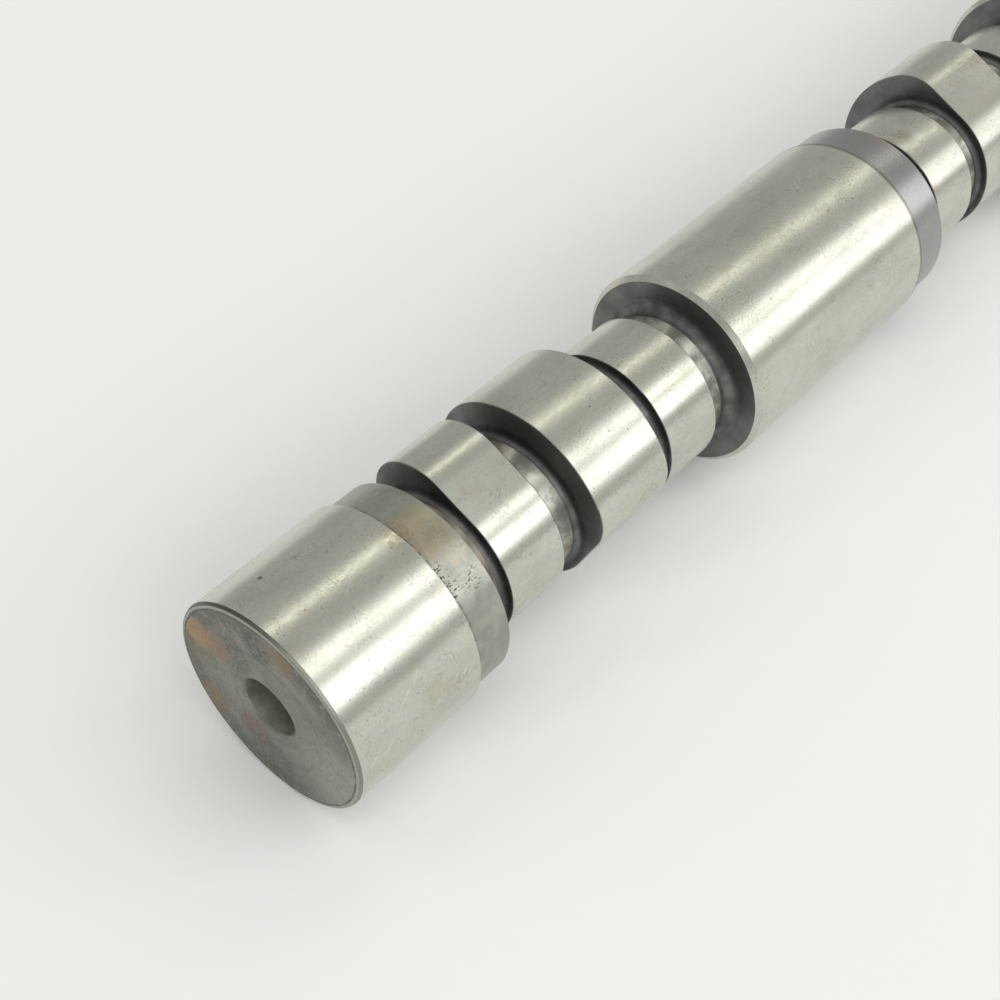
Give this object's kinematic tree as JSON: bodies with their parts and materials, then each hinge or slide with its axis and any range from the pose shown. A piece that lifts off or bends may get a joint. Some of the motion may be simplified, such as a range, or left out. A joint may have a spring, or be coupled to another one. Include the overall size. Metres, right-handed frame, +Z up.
{
  "type": "camshaft",
  "caption": "Diesel engine camshaft: wide ground bearing journals, valve lobes and long-dwell injector lobes between them, and a keyed seat for the timing gear.",
  "frame": {"origin": "on the shaft's axis, at the middle of the rear bearing journal", "axes": "+X along the shaft towards the gear end, +Z up with the shaft lying as in the picture, +Y to the left when looking along +X"},
  "size_m": [0.7672, 0.0506, 0.0508],
  "materials": {
    "steel": "ground bearings and lobes, darker forged necks and lobe sides, light rust stains"
  },
  "bodies": {
    "root": {"camshaft": "steel"}
  },
  "joints": []
}
